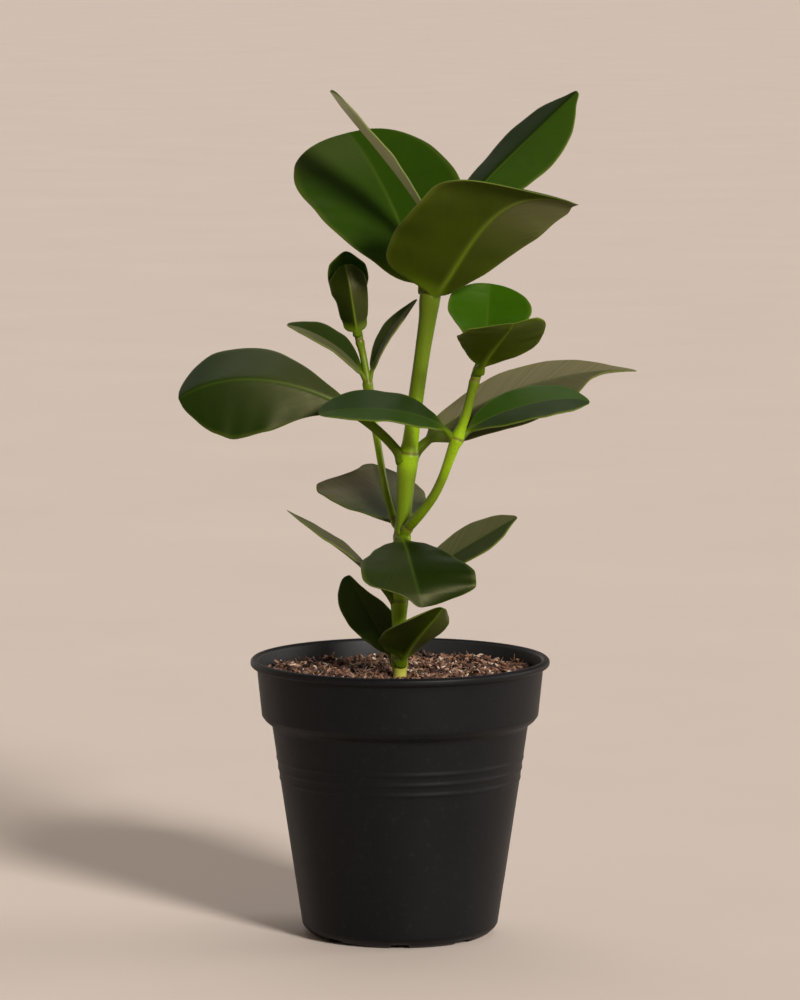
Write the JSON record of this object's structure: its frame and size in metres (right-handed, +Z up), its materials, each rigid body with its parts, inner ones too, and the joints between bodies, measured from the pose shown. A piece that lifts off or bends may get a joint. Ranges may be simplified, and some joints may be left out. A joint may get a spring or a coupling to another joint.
{
  "type": "potted autograph tree",
  "caption": "Young autograph tree with thick leathery paired leaves on a green stem with two side shoots, rooted in bark mix in a plain black tapered nursery pot",
  "frame": {"origin": "centre of the face that the pot stands on", "axes": "+Z up along the plant, +X to the viewer's right, +Y away from the viewer in the pictured view"},
  "size_m": [0.183, 0.1202, 0.3392],
  "materials": {
    "pot_plastic": "satin",
    "potting_mix": "matte",
    "root": "matte",
    "stem": "satin",
    "leaf": "satin"
  },
  "bodies": {
    "root": {"pot": "pot_plastic", "potting_mix": "potting_mix", "root_system": "root", "main_stem": "stem", "right_shoot": "stem", "left_shoot": "stem", "top_back_leaf": "leaf", "top_front_leaf": "leaf", "top_left_leaf": "leaf", "top_right_leaf": "leaf", "middle_left_leaf": "leaf", "middle_right_leaf": "leaf", "right_shoot_left_leaf": "leaf", "right_shoot_right_leaf": "leaf", "right_shoot_back_leaf": "leaf", "right_shoot_front_leaf": "leaf", "left_shoot_left_leaf": "leaf", "left_shoot_right_leaf": "leaf", "left_shoot_back_leaf": "leaf", "left_shoot_front_leaf": "leaf", "lower_back_leaf": "leaf", "lower_front_leaf": "leaf", "lower_left_leaf": "leaf", "lower_right_leaf": "leaf", "bottom_back_leaf": "leaf", "bottom_front_leaf": "leaf"}
  },
  "joints": []
}
